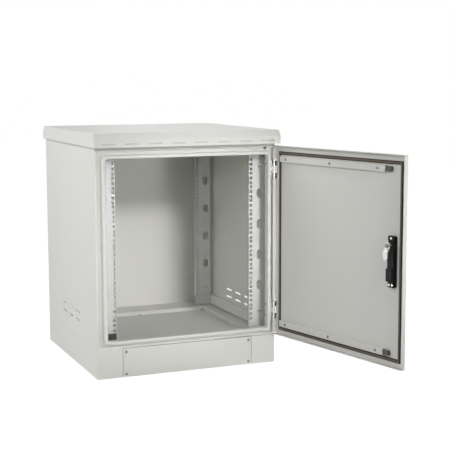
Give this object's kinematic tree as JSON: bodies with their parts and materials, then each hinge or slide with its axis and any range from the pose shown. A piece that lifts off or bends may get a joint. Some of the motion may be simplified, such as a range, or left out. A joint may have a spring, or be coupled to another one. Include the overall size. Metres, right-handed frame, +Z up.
{
  "type": "outdoor equipment cabinet",
  "caption": "Floor-standing grey sheet-steel outdoor cabinet with an overhanging rain roof, a gasketed hinged door with a swing-handle lock, rack rails inside and a base for anchoring.",
  "frame": {"origin": "on the floor under the middle of the body, at the centre of the four anchor holes", "axes": "+X to the right seen from the front, +Y from the front to the rear wall, +Z up"},
  "size_m": [0.7808, 1.192, 0.7584],
  "materials": {
    "grey_paint": "light grey powder coat, fine satin texture",
    "zinc": "bright zinc plate",
    "dark_steel": "dark grey satin",
    "black_plastic": "black moulded plastic",
    "foam": "matt foam",
    "nickel": "nickel plate"
  },
  "bodies": {
    "root": {"left_side_wall": "grey_paint", "right_side_wall": "grey_paint", "rear_wall": "grey_paint", "front_frame": "grey_paint", "ceiling_plate": "grey_paint", "floor_frame": "grey_paint", "gland_plate": "grey_paint", "gland_plate_screws": "zinc", "base_flange": "grey_paint", "base_front_frame": "grey_paint", "base_cover": "grey_paint", "base_cover_screws": "zinc", "roof_hood": "grey_paint", "roof_baffle": "grey_paint", "roof_spacers": "zinc", "roof_bolts": "zinc", "front_left_rail": "zinc", "front_right_rail": "zinc", "rear_left_rail": "zinc", "rear_right_rail": "zinc", "front_left_foot": "dark_steel", "lower_rail_feet": "zinc", "upper_rail_feet": "zinc", "rail_foot_bolts": "zinc", "lower_left_bar": "grey_paint", "lower_right_bar": "grey_paint", "upper_left_bar": "grey_paint", "upper_right_bar": "grey_paint", "lower_hinge_leaf": "zinc", "upper_hinge_leaf": "zinc", "hinge_bolts": "zinc", "hinge_pins": "zinc", "earth_stud": "dark_steel"},
    "door": {"door_panel": "grey_paint", "door_gasket": "foam", "lower_door_rail": "grey_paint", "upper_door_rail": "grey_paint", "door_rail_screws": "zinc", "door_rail_blocks": "dark_steel", "lower_door_knuckles": "zinc", "upper_door_knuckles": "zinc", "handle_base": "black_plastic", "lock_plate": "black_plastic", "lock_box": "black_plastic", "lock_screws": "zinc"},
    "handle": {"handle_spindle": "zinc", "lock_cam": "zinc", "cam_bolt": "zinc"},
    "lever": {"swing_lever": "black_plastic", "lever_pin": "zinc"},
    "lock": {"lock_plug": "nickel"}
  },
  "joints": [
    {"name": "door_hinge", "type": "hinge", "parent": "root", "child": "door", "pos_m": [0.293, -0.309, 0.422], "axis": [0, 0, 1], "range_deg": [-102.9, 12]},
    {"name": "handle_turn", "type": "hinge", "parent": "door", "child": "handle", "pos_m": [0.42361, -0.82999, 0.45045], "axis": [-0.9748, -0.2233, 0], "range_deg": [0, 90]},
    {"name": "lever_swing", "type": "hinge", "parent": "handle", "child": "lever", "pos_m": [0.43643, -0.82705, 0.45045], "axis": [0, 0, -1], "range_deg": [-30, 10]},
    {"name": "plug_turn", "type": "hinge", "parent": "door", "child": "lock", "pos_m": [0.42848, -0.82888, 0.36425], "axis": [-0.9748, -0.2233, 0], "range_deg": [0, 90]}
  ]
}
